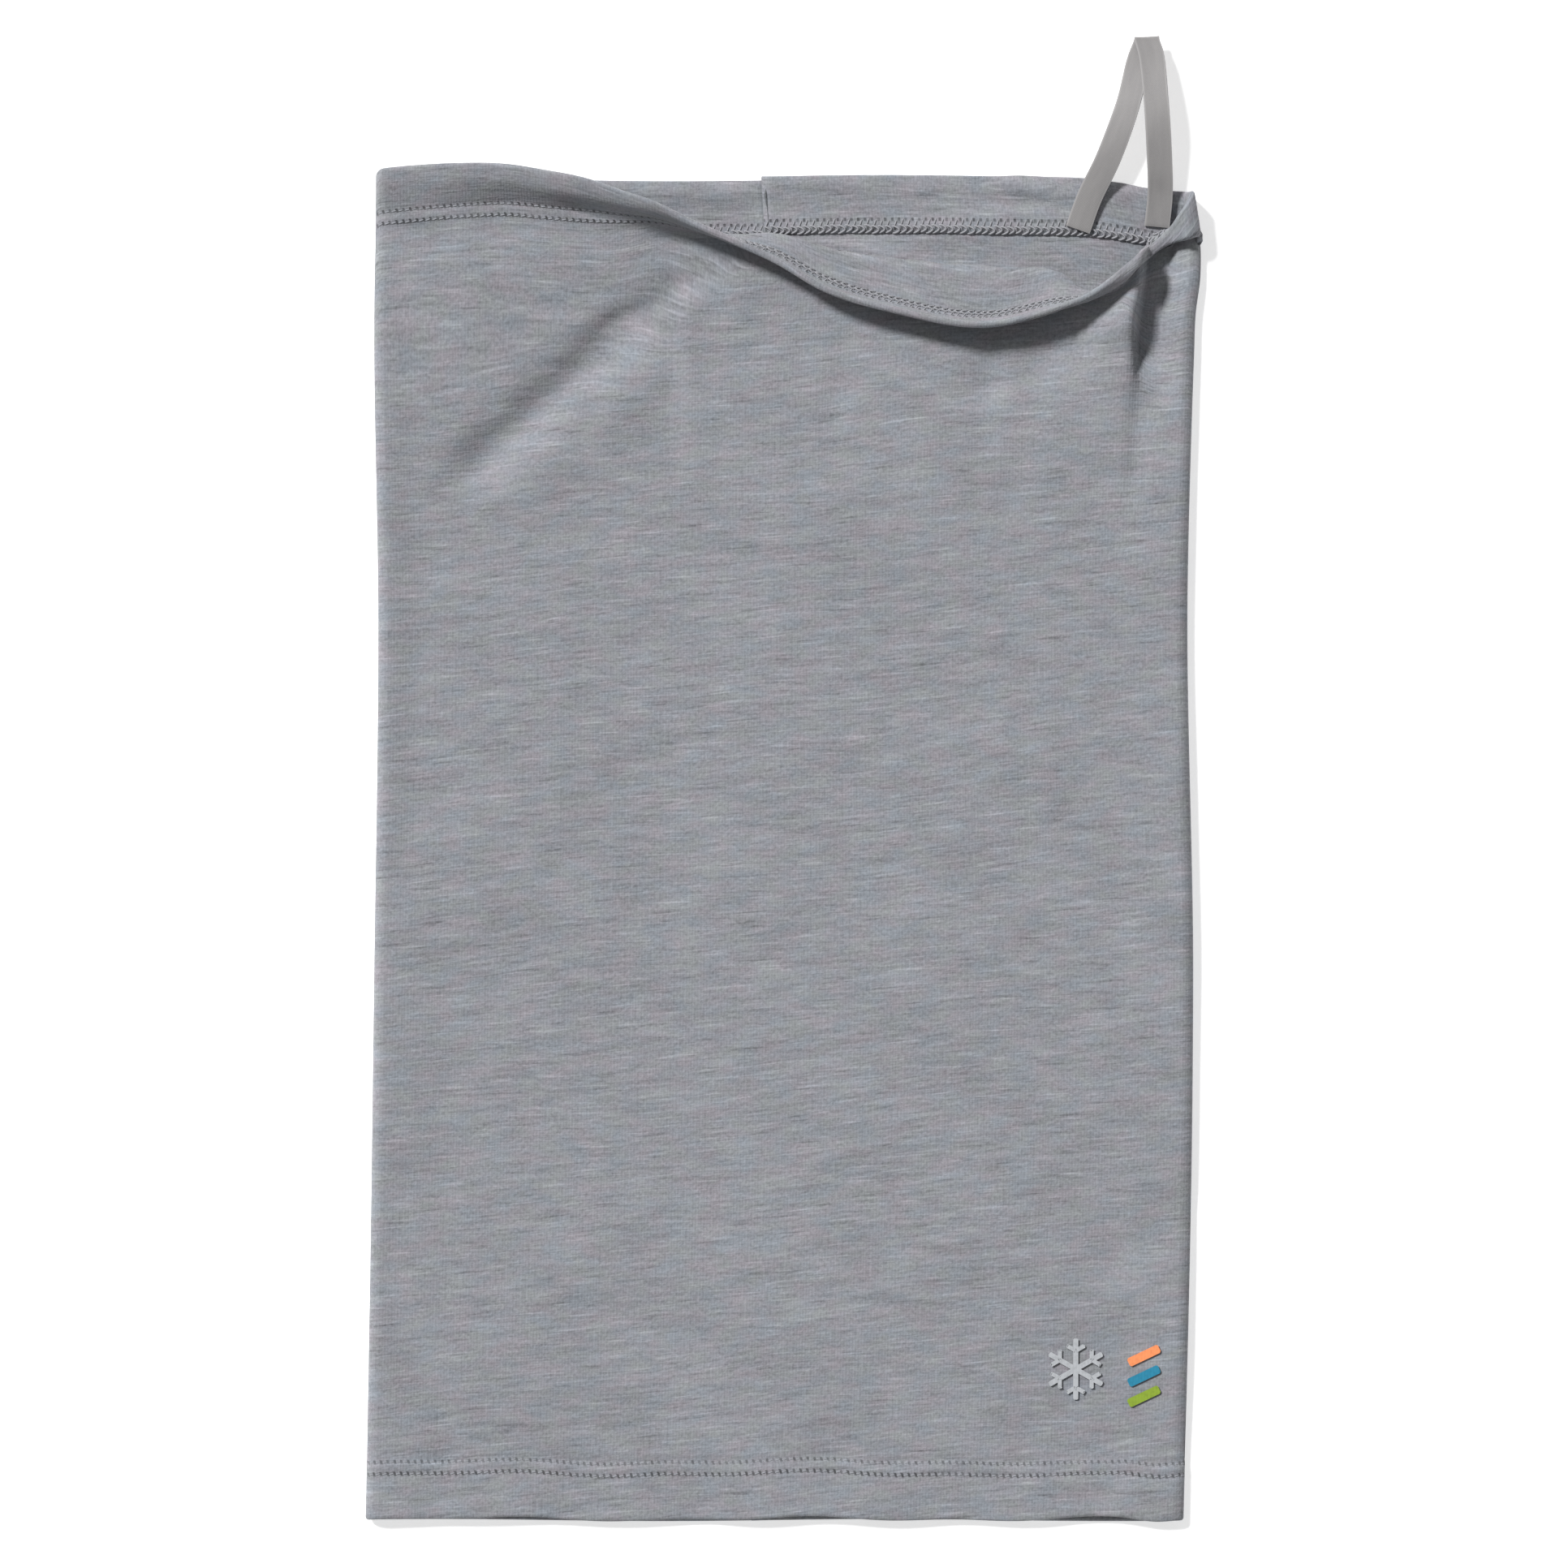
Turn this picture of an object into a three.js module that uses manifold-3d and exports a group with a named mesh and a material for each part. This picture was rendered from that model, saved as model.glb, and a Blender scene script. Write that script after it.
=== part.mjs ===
// A knitted neck gaiter lying flat: a seamed jersey tube with coverstitched hems and an ear loop of tape.
// Millimetres. +X is the wearer's left when the gaiter lies face up, +Y runs towards the top hem, and +Z
// is up from the surface that the back layer rests on. The origin is under the middle of the whole object.

import * as THREE from "three";
import { mergeVertices } from "three/addons/utils/BufferGeometryUtils.js";
import Module from "manifold-3d";

const wasm = await Module();
wasm.setup();

// ---- Driving dimensions -------------------------------------------------------------------------------

const FABRIC = 0.6; // one layer of jersey
const PLY_GAP = 0.05; // air between two layers that lie on each other
const TUBE_HALF_WIDTH = 121;
const TUBE_HEIGHT = 8.2; // the tube lying loosely flattened
const TUBE_BOTTOM = -218;
const BACK_TOP_LEFT = 176.8; // the two halves of the back layer meet with a small step at the seam
const BACK_TOP_RIGHT = 178;
const SIDE_TOP_LEFT = 178.4;
const SIDE_TOP_RIGHT = 172;
const PANEL_EDGE = TUBE_HALF_WIDTH - TUBE_HEIGHT / 2; // where the flat layers end and the side folds begin
const PANEL_GAP = 0.3; // between the flat layers and the folds
const SEAM_X = -6;

const HEM_DEPTH = 18;
const HEM_SETBACK = 0.3; // the turned-in ply starts this far inside the edge
const NEEDLE_ROWS = [13.6, 17.2]; // distances of the two needle lines from the hem's edge
const NEEDLE_WIDTH = 0.7;
const NEEDLE_HEIGHT = 0.25;
const LOOPER_WIDTH = 4.4;
const LOOPER_HEIGHT = 0.3;
const STITCH_INSET = 1; // the threads stop this far inside the flat layers' side edges
const GROOVE_DEPTH = 0.35; // the needle threads under the back layer sink into it
const GROOVE_CLEARANCE = 0.1;

const SEAM_WIDTH = 5;
const SEAM_HEIGHT = 0.6;
const SEAM_STITCH_WIDTH = 3;
const SEAM_STITCH_HEIGHT = 0.25;

const TAPE_WIDTH = 7.6;
const TAPE = 0.7;
const LOOP_BASE_Y = 164;
const LOOP_TOP = 218;
const LOOP_LEFT_X = 86.5; // middle of the left leg where it is sewn in
const LOOP_RIGHT_X = 108.2;
const LOOP_APEX_X = 107;
const APEX_FOLD = 5; // length of the doubled tape at the loop's top

const PRINT = 0.12;
const FLAKE_CENTRE = [86, -173];
const FLAKE_RADIUS = 9;
const FLAKE_ARM = 1.5; // width of an arm
const ACCENT_CENTRE = [106, -175];
const ACCENT_STRIPE = [10, 2.6]; // length and width of one slanted stripe
const ACCENT_PITCH = 6;
const ACCENT_SLANT = 0.45; // radians

const FRONT_FLOOR = TUBE_HEIGHT - FABRIC; // underside of the front layer
const BACK_CEILING = FABRIC; // upper side of the back layer

// The front rim, from the left fold to the right one. It sags open towards the right.
const FRONT_RIM = [
  [-PANEL_EDGE + PANEL_GAP, 179.5],
  [-73, 179],
  [-40, 170],
  [-15, 157],
  [8, 144],
  [32, 136],
  [61, 132.6],
  [80, 136.5],
  [97, 145],
  [PANEL_EDGE - PANEL_GAP, 155],
];
const RIM_STEPS = 48;

// ---- Materials ----------------------------------------------------------------------------------------

function cloth(name, color, roughness = 0.95) {
  return new THREE.MeshStandardMaterial({ name, color, roughness, metalness: 0 });
}

const materials = {
  jersey: cloth("jersey", 0x9496a0),
  facing: cloth("facing", 0x90929b),
  tape: cloth("tape", 0x8e8c8b, 0.8),
  needleThread: cloth("needle_thread", 0x7f8188, 0.7),
  looperThread: cloth("looper_thread", 0x8b8d94, 0.8),
  printGrey: cloth("print_grey", 0xbfc2c6, 0.5),
  accentOrange: cloth("accent_orange", 0xf08a4b, 0.5),
  accentTeal: cloth("accent_teal", 0x1f7f9c, 0.5),
  accentGreen: cloth("accent_green", 0x7f9a2d, 0.5),
};

// ---- Solids -------------------------------------------------------------------------------------------

const gaiter = new THREE.Group();
gaiter.name = "neck_gaiter";

function addPiece(name, geometry, material) {
  const mesh = new THREE.Mesh(geometry, material);
  mesh.name = name;
  gaiter.add(mesh);
}

// A flat outline, a list of [x, y] points counter-clockwise, as a plate from z = bottom to bottom + thickness.
function plate(points, bottom, thickness) {
  const shape = new THREE.Shape(points.map(([x, y]) => new THREE.Vector2(x, y)));
  const geometry = new THREE.ExtrudeGeometry(shape, { depth: thickness, bevelEnabled: false });
  return geometry.translate(0, 0, bottom);
}

function rectangle(x0, x1, y0, y1) {
  return [[x0, y0], [x1, y0], [x1, y1], [x0, y1]];
}

function box(x0, x1, y0, y1, z0, z1) {
  const geometry = new THREE.BoxGeometry(x1 - x0, y1 - y0, z1 - z0);
  return geometry.translate((x0 + x1) / 2, (y0 + y1) / 2, (z0 + z1) / 2);
}

function toManifold(geometry) {
  const bare = geometry.clone();
  bare.deleteAttribute("normal");
  bare.deleteAttribute("uv");
  const merged = mergeVertices(bare, 1e-4);
  return new wasm.Manifold(
    new wasm.Mesh({
      numProp: 3,
      vertProperties: merged.attributes.position.array,
      triVerts: new Uint32Array(merged.index.array),
    }),
  );
}

function fromManifold(solid) {
  const mesh = solid.getMesh();
  const geometry = new THREE.BufferGeometry();
  geometry.setAttribute("position", new THREE.BufferAttribute(mesh.vertProperties, 3));
  geometry.setIndex(new THREE.BufferAttribute(mesh.triVerts, 1));
  geometry.computeVertexNormals();
  return geometry;
}

function join(geometries) {
  return fromManifold(geometries.map(toManifold).reduce((all, next) => all.add(next)));
}

function cut(geometry, cutters) {
  return fromManifold(cutters.map(toManifold).reduce((rest, next) => rest.subtract(next), toManifold(geometry)));
}

// ---- The knitted tube ---------------------------------------------------------------------------------

const rimSpline = new THREE.SplineCurve(FRONT_RIM.map(([x, y]) => new THREE.Vector2(x, y)));
const rimPoints = rimSpline.getPoints(RIM_STEPS).map((point) => [point.x, point.y]);

// The top edge of the back layer's right half falls away towards the right fold.
const backRimRight = new THREE.QuadraticBezierCurve(
  new THREE.Vector2(80, BACK_TOP_RIGHT),
  new THREE.Vector2(105, BACK_TOP_RIGHT),
  new THREE.Vector2(PANEL_EDGE - PANEL_GAP, SIDE_TOP_RIGHT + 1.5),
);

// From the right fold to the straight part of the edge, moved by rise.
function backRimPoints(rise) {
  return backRimRight
    .getPoints(8)
    .reverse()
    .map((point) => [point.x, point.y + rise]);
}

function underGrooves(x0, x1) {
  const topRows = NEEDLE_ROWS.map((row) => BACK_TOP_LEFT - row);
  const bottomRows = NEEDLE_ROWS.map((row) => TUBE_BOTTOM + row);
  const half = NEEDLE_WIDTH / 2 + GROOVE_CLEARANCE;
  return [...topRows, ...bottomRows].map((y) => box(x0, x1, y - half, y + half, -1, GROOVE_DEPTH));
}

function addBackLayer() {
  const inner = PANEL_EDGE - PANEL_GAP;
  const seamLeft = SEAM_X - PLY_GAP;
  const seamRight = SEAM_X + PLY_GAP;
  const left = plate(rectangle(-inner, seamLeft, TUBE_BOTTOM, BACK_TOP_LEFT), 0, FABRIC);
  const rightOutline = [
    [seamRight, TUBE_BOTTOM],
    [inner, TUBE_BOTTOM],
    ...backRimPoints(0),
    [seamRight, BACK_TOP_RIGHT],
  ];
  const right = plate(rightOutline, 0, FABRIC);
  const grooveEnd = inner - STITCH_INSET;
  addPiece("back_panel_left", cut(left, underGrooves(-grooveEnd, SEAM_X)), materials.jersey);
  addPiece("back_panel_right", cut(right, underGrooves(SEAM_X, grooveEnd)), materials.jersey);
}

function addBackSeam() {
  const y0 = TUBE_BOTTOM + HEM_DEPTH + 1;
  const y1 = BACK_TOP_LEFT - HEM_DEPTH - 1;
  const half = SEAM_WIDTH / 2;
  const bottom = BACK_CEILING + PLY_GAP;
  const top = bottom + SEAM_HEIGHT;
  addPiece("back_seam", box(SEAM_X - half, SEAM_X + half, y0, y1, bottom, top), materials.facing);
  const stitchHalf = SEAM_STITCH_WIDTH / 2;
  const stitchTop = top + PLY_GAP + SEAM_STITCH_HEIGHT;
  const stitch = box(SEAM_X - stitchHalf, SEAM_X + stitchHalf, y0 + 1, y1 - 1, top + PLY_GAP, stitchTop);
  addPiece("back_seam_stitch", stitch, materials.looperThread);
}

// A side fold is half a ring in the XZ plane, run along Y. side is 1 on the right and -1 on the left.
function addSideFold(name, side, top) {
  const outer = TUBE_HEIGHT / 2;
  const profile = new THREE.Shape();
  profile.absarc(PANEL_EDGE, 0, outer, -Math.PI / 2, Math.PI / 2, false);
  profile.absarc(PANEL_EDGE, 0, outer - FABRIC, Math.PI / 2, -Math.PI / 2, true);
  profile.closePath();
  const geometry = new THREE.ExtrudeGeometry(profile, {
    depth: top - TUBE_BOTTOM,
    bevelEnabled: false,
    curveSegments: 10,
  });
  // The profile is drawn on the right: extruding along -Y and turning it round Z puts it on either side.
  geometry.rotateX(Math.PI / 2).translate(0, side > 0 ? top : -TUBE_BOTTOM, outer);
  if (side < 0) geometry.rotateZ(Math.PI);
  addPiece(name, geometry, materials.jersey);
}

function addFrontLayer() {
  const inner = PANEL_EDGE - PANEL_GAP;
  const outline = [[-inner, TUBE_BOTTOM], [inner, TUBE_BOTTOM], ...rimPoints.toReversed()];
  addPiece("front_panel", plate(outline, FRONT_FLOOR, FABRIC), materials.jersey);
}

// ---- Hems and their coverstitch -----------------------------------------------------------------------

// A strip that follows the front rim, from near to far below it.
function rimStrip(near, far, inset) {
  const limit = PANEL_EDGE - PANEL_GAP - inset;
  const kept = rimPoints.filter(([x]) => Math.abs(x) <= limit);
  const upper = kept.map(([x, y]) => [x, y - near]).toReversed();
  const lower = kept.map(([x, y]) => [x, y - far]);
  return [...lower, ...upper];
}

function addHems() {
  const inner = PANEL_EDGE - PANEL_GAP;
  const backFace = BACK_CEILING + PLY_GAP;
  const frontFace = FRONT_FLOOR - PLY_GAP - FABRIC;
  const topBack = [
    [-inner, BACK_TOP_LEFT - HEM_DEPTH],
    [inner, BACK_TOP_LEFT - HEM_DEPTH],
    ...backRimPoints(BACK_TOP_LEFT - BACK_TOP_RIGHT - HEM_SETBACK),
    [-inner, BACK_TOP_LEFT - HEM_SETBACK],
  ];
  const bottom = rectangle(-inner, inner, TUBE_BOTTOM, TUBE_BOTTOM + HEM_DEPTH);
  addPiece("top_hem_back", plate(topBack, backFace, FABRIC), materials.facing);
  const topFront = rimStrip(HEM_SETBACK, HEM_DEPTH, 0);
  addPiece("top_hem_front", plate(topFront, frontFace, FABRIC), materials.facing);
  addPiece("bottom_hem_back", plate(bottom, backFace, FABRIC), materials.facing);
  addPiece("bottom_hem_front", plate(bottom, frontFace, FABRIC), materials.facing);
}

// The two needle threads outside and the looper thread inside, for each hem and each layer.
function addCoverstitch() {
  const inner = PANEL_EDGE - PANEL_GAP - STITCH_INSET;
  const halfNeedle = NEEDLE_WIDTH / 2;
  const looperMiddle = (NEEDLE_ROWS[0] + NEEDLE_ROWS[1]) / 2;
  const looperNear = looperMiddle - LOOPER_WIDTH / 2;
  const looperFar = looperMiddle + LOOPER_WIDTH / 2;
  const straight = (edge, direction) => (near, far) => {
    const [y0, y1] = [edge + direction * near, edge + direction * far].sort((a, b) => a - b);
    return rectangle(-inner, inner, y0, y1);
  };
  const places = [
    { hem: "top", layer: "back", strip: straight(BACK_TOP_LEFT, -1) },
    { hem: "top", layer: "front", strip: (near, far) => rimStrip(near, far, STITCH_INSET) },
    { hem: "bottom", layer: "back", strip: straight(TUBE_BOTTOM, 1) },
    { hem: "bottom", layer: "front", strip: straight(TUBE_BOTTOM, 1) },
  ];
  for (const { hem, layer, strip } of places) {
    const onFront = layer === "front";
    const needleBottom = onFront ? TUBE_HEIGHT + PLY_GAP : GROOVE_DEPTH - PLY_GAP - NEEDLE_HEIGHT;
    const looperBottom = onFront
      ? FRONT_FLOOR - 2 * PLY_GAP - FABRIC - LOOPER_HEIGHT
      : BACK_CEILING + 2 * PLY_GAP + FABRIC;
    NEEDLE_ROWS.forEach((row, index) => {
      const nearEdge = index === 0;
      const place = nearEdge === (hem === "top") ? "upper" : "lower";
      const outline = strip(row - halfNeedle, row + halfNeedle);
      addPiece(
        `${hem}_needle_thread_${place}_${layer}`,
        plate(outline, needleBottom, NEEDLE_HEIGHT),
        materials.needleThread,
      );
    });
    const looper = plate(strip(looperNear, looperFar), looperBottom, LOOPER_HEIGHT);
    addPiece(`${hem}_looper_thread_${layer}`, looper, materials.looperThread);
  }
}

// ---- Ear loop -----------------------------------------------------------------------------------------

// One length of tape. The left leg lies under the right one, and a fold at the top joins them.
function addEarLoop() {
  const bottom = BACK_CEILING + FABRIC + LOOPER_HEIGHT + 3 * PLY_GAP;
  const leg = (baseX, z0) => {
    const run = Math.hypot(LOOP_APEX_X - baseX, LOOP_TOP - LOOP_BASE_Y);
    const halfAcross = ((TAPE_WIDTH / 2) * run) / (LOOP_TOP - LOOP_BASE_Y);
    const outline = [
      [baseX - halfAcross, LOOP_BASE_Y],
      [baseX + halfAcross, LOOP_BASE_Y],
      [LOOP_APEX_X + halfAcross, LOOP_TOP],
      [LOOP_APEX_X - halfAcross, LOOP_TOP],
    ];
    return plate(outline, z0, TAPE);
  };
  const half = TAPE_WIDTH / 2;
  const foldOutline = rectangle(LOOP_APEX_X - half, LOOP_APEX_X + half, LOOP_TOP - APEX_FOLD, LOOP_TOP);
  const fold = plate(foldOutline, bottom, 2 * TAPE);
  addPiece("ear_loop", join([leg(LOOP_LEFT_X, bottom), leg(LOOP_RIGHT_X, bottom + TAPE), fold]), materials.tape);
}

// ---- Heat-pressed prints ------------------------------------------------------------------------------

function bar(length, width, angle, x, y, bottom) {
  return new THREE.BoxGeometry(length, width, PRINT).rotateZ(angle).translate(x, y, bottom + PRINT / 2);
}

// A plain six-armed snowflake, each arm with one pair of branches.
function addSnowflakePrint() {
  const bottom = TUBE_HEIGHT + PLY_GAP;
  const [cx, cy] = FLAKE_CENTRE;
  const bars = [];
  for (let arm = 0; arm < 6; arm += 1) {
    const angle = Math.PI / 6 + (arm * Math.PI) / 3;
    const along = (distance) => [cx + distance * Math.cos(angle), cy + distance * Math.sin(angle)];
    bars.push(bar(FLAKE_RADIUS, FLAKE_ARM, angle, ...along(FLAKE_RADIUS / 2), bottom));
    for (const side of [-1, 1]) {
      const branchAngle = angle + (side * Math.PI) / 3;
      const [rootX, rootY] = along(FLAKE_RADIUS * 0.6);
      const half = FLAKE_RADIUS * 0.17;
      const x = rootX + half * Math.cos(branchAngle);
      const y = rootY + half * Math.sin(branchAngle);
      bars.push(bar(2 * half, FLAKE_ARM * 0.8, branchAngle, x, y, bottom));
    }
  }
  addPiece("snowflake_print", join(bars), materials.printGrey);
}

function addAccentStripes() {
  const bottom = TUBE_HEIGHT + PLY_GAP;
  const [cx, cy] = ACCENT_CENTRE;
  const [length, width] = ACCENT_STRIPE;
  const inks = { orange: materials.accentOrange, teal: materials.accentTeal, green: materials.accentGreen };
  Object.entries(inks).forEach(([ink, material], index) => {
    const y = cy + (1 - index) * ACCENT_PITCH;
    addPiece(`accent_stripe_${ink}`, bar(length, width, ACCENT_SLANT, cx, y, bottom), material);
  });
}

addBackLayer();
addBackSeam();
addSideFold("left_side_fold", -1, SIDE_TOP_LEFT);
addSideFold("right_side_fold", 1, SIDE_TOP_RIGHT);
addFrontLayer();
addHems();
addCoverstitch();
addEarLoop();
addSnowflakePrint();
addAccentStripes();

export default gaiter;
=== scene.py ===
"""A knitted neck gaiter lying flat, with its ear loop, on a pale floor.

The tube is one sheet of jersey. It starts at the raw edge turned inside the top hem, goes over the rim,
down the outside, round the bottom hem, and ends at the raw edge turned inside there. Threads and prints are
placed on that sheet. Shapes are worked out in millimetres and go to Blender in metres.

Places on the sheet are (u, v): u runs round the tube from the centre back seam, and v runs down it from the
top rim. v is negative on the part turned inside the top hem.
"""

import itertools
import math

import bpy
import numpy as np
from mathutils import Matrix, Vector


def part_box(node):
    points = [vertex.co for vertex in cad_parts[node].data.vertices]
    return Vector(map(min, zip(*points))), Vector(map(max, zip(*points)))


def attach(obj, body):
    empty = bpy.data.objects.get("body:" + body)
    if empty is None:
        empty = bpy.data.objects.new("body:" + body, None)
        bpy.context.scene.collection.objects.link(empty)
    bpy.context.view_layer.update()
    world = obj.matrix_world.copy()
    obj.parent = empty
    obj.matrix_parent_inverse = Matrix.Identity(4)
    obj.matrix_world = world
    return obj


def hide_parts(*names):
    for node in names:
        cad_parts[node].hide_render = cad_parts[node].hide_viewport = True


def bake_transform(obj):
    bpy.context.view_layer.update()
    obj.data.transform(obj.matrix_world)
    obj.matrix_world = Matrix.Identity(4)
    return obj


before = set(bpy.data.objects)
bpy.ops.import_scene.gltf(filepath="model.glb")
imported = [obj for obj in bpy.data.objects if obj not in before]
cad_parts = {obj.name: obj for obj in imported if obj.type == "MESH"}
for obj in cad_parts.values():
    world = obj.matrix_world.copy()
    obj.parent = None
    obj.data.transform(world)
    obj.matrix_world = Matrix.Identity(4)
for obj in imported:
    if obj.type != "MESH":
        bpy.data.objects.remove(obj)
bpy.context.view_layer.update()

MM = 0.001


def cad_mm(node):
    low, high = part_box(node)
    return np.array(low) / MM, np.array(high) / MM


# ---- Driving dimensions, in millimetres ----

FABRIC = 0.5
HALF_WIDTH = cad_mm("right_side_fold")[1][0]
FOLD_REACH = 3.4  # how far in from each side the sheet turns over
EDGE = HALF_WIDTH - FABRIC / 2 - FOLD_REACH
BOTTOM = cad_mm("front_panel")[0][1]
BACK_TOP_LEFT = cad_mm("back_panel_left")[1][1]
BACK_TOP_RIGHT = cad_mm("back_panel_right")[1][1]
SEAM_LOW, SEAM_HIGH = cad_mm("back_seam")
SEAM_X = (SEAM_LOW[0] + SEAM_HIGH[0]) / 2
SEAM_LAP = 0.8  # each edge of the panel passes the seam by this much
SEAM_STEP = 0.55  # the right edge lies on the left one
BODY_LENGTH = 396.0  # cloth from rim to rim
HEM = 17.6
NEEDLE_ROWS = (13.4, 16.8)
KNIT_ROW_RISE = 0.083  # how much the knit's rows climb to the right
LIP_LENGTH = 48.0  # cloth below the front rim that the mouth's shape takes up
RIM_TOP = (13.6, 10.8)  # how high the rim stands at most, where it leans back and where it leans out
FRONT_LEVEL = 6.0
LEAST_FRONT_LEVEL = 1.1
BACK_LEVEL = 0.3
STITCH_PITCH = 2.0
ZIGZAG_PITCH = 3.0
CHAIN_ROW = 16.1  # how far the middle of the looper's chain is from the hem's edge
# Painted shade and dents in the holes along the stitches: v, half height, slant, shift along the row, and how
# dark the shade is.
HOLE_SHADE_AND_DENTS = (
    (NEEDLE_ROWS[0], 0.8, 0.4, 0.0, 0.9),
    (NEEDLE_ROWS[1], 0.8, 0.4, 0.0, 1.0),
    (-NEEDLE_ROWS[0], 0.6, 0.0, 0.0, 0.9),
    (-CHAIN_ROW, 0.7, 0.0, 0.6, 1.0),
    (BODY_LENGTH - NEEDLE_ROWS[0], 0.85, 0.4, 0.0, 1.0),
    (BODY_LENGTH - NEEDLE_ROWS[1], 0.7, 0.4, 0.0, 0.75),
    (BODY_LENGTH + NEEDLE_ROWS[0], 0.6, 0.0, 0.0, 0.9),
    (BODY_LENGTH + CHAIN_ROW, 0.7, 0.0, 0.6, 1.0),
)
ARCH_SPAN = 62.0  # the front layer comes fully loose from the back this far in from each side

# The sheet's columns, closer together right of CLOSE_X, and its rows, closer where it is sewn or bends.
COLUMN_STEP = 2.7
SIDE_COLUMNS = 13  # round each side fold
CLOSE_X, CLOSE_COLUMNS = 94.0, 34
FIRST_ROW = 1.1  # how far the outermost rows are from the hems' edges
SEWN_PART, BOTTOM_PART = 26.0, 24.0
SEWN_STEP, LIP_STEP, MIDDLE_STEP, BOTTOM_STEP = 0.85, 1.3, 3.6, 0.95

# How the front layer lies, away from the mouth's table.
FOOT_SPAN = 85.0  # the lip has a foot this far from the middle on either side
LATE_RISE_X, LATE_RISE = -30.0, 18.0  # left of this x, the layer starts to rise this far below the rim
SIDE_ZONE, SIDE_RISE = 22.0, 0.5
BOTTOM_ZONE, BOTTOM_SINK = 60.0, 1.9
WAVE_ZONE = 22.0  # the bottom edge's waves fade out this far above it

# The mouth, from the left fold to the right one. An angle is how far the cloth is turned from lying flat
# towards the bottom hem: 90 hangs straight down, and more leans out over the front layer. Each row holds
#   x, the rim's y, the rim's angle, then four (cloth below the rim, angle) pairs, how much further the last
#   angle holds, the cloth in which it settles flat, the layer's level there, and the length of its rise.
MOUTH = (
    (-121, 179.3, 4, 3, 14, 9, 22, 12, 20, 14.5, 4, 0, 6, 4.8, 30),
    (-109, 180.4, 6, 3, 15, 9, 24, 12, 22, 14.5, 4, 0, 6, 4.8, 30),
    (-96, 180.9, 6, 3, 18, 9, 34, 12, 30, 14.5, 5, 0, 8, 4.6, 30),
    (-83, 180.6, 4, 3, 18, 8, 46, 12, 42, 14.5, 6, 0, 8, 4.4, 35),
    (-70.6, 178.7, 2, 4, 22, 8, 56, 12, 52, 14.5, 9, 0, 8, 4.2, 40),
    (-57.7, 176.0, 0, 4, 32, 8, 68, 12, 64, 15, 18, 0, 7, 3.8, 45),
    (-48, 172.6, 0, 3.4, 48, 8, 80, 13, 66, 18, 34, 0, 7, 3.2, 55),
    (-39, 169.5, -2, 3, 66, 9, 84, 14, 76, 20, 60, 0, 7, 2.6, 65),
    (-27, 163.7, -4, 3, 84, 9, 88, 15, 92, 20, 88, 0, 5, 2.0, 70),
    (-15, 158.5, -6, 3, 88, 9, 94, 15, 104, 20, 116, 1, 5, 2.4, 75),
    (-3, 152.8, -6, 3, 92, 9, 102, 15, 118, 20, 146, 3, 4, 2.4, 75),
    (9, 145.8, -6, 3, 94, 9, 104, 15, 122, 20, 168, 5, 3, 1.8, 75),
    (32, 138.6, -6, 3, 94, 9, 104, 15, 122, 20, 172, 8.5, 2.6, 1.2, 75),
    (61, 134.5, -6, 3, 94, 9, 104, 15, 122, 20, 172, 10, 2.6, 1.2, 65),
    (80, 139.2, -4, 3, 92, 9, 100, 15, 118, 20, 158, 5, 3, 1.6, 45),
    (90, 143.8, 0, 3, 78, 9, 86, 14, 100, 19, 112, 1, 4, 3.2, 24),
    (99, 151.4, 4, 3, 56, 9, 82, 14, 92, 18, 84, 0, 4, 5.0, 16),
    (104, 155.6, 8, 3, 40, 6, 96, 12, 110, 17, 116, 0, 4, 5.8, 14),
    (110, 160.4, 16, 3, 30, 6, 100, 11, 122, 15, 128, 0, 3, 5.6, 14),
    (113.5, 164.0, 12, 5, 22, 8, 98, 11, 132, 14, 140, 0, 3, 5.2, 14),
    (116.6, 167.6, 10, 8, 14, 10.5, 90, 12.5, 145, 15, 150, 0, 2.5, 4.8, 14),
    (121, 173.0, 8, 12, 10, 14, 80, 15.5, 140, 17, 140, 0, 2, 4.6, 14),
)
RIM_Y, RIM_ANGLE, HOLD, SETTLE, SUNK_LEVEL, RISE = 1, 2, 11, 12, 13, 14
LIP_DEPTHS, LIP_ANGLES = (3, 5, 7, 9), (4, 6, 8, 10)

# Where the folded tube's left and right sides run, as (y, x).
LEFT_SIDE = ((-218, -122.6), (-190, -122.0), (-57, -120.0), (48, -118.8), (134, -120.0), (180, -119.4))
RIGHT_SIDE = (
    *((-218, 117.8), (-177, 118.8), (-124, 120.0), (-57, 120.6), (57, 119.0), (105, 120.2)),
    *((125, 120.9), (137, 121.4), (148, 122.8), (160, 122.6), (167, 121.6), (174, 120.4)),
)

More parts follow.
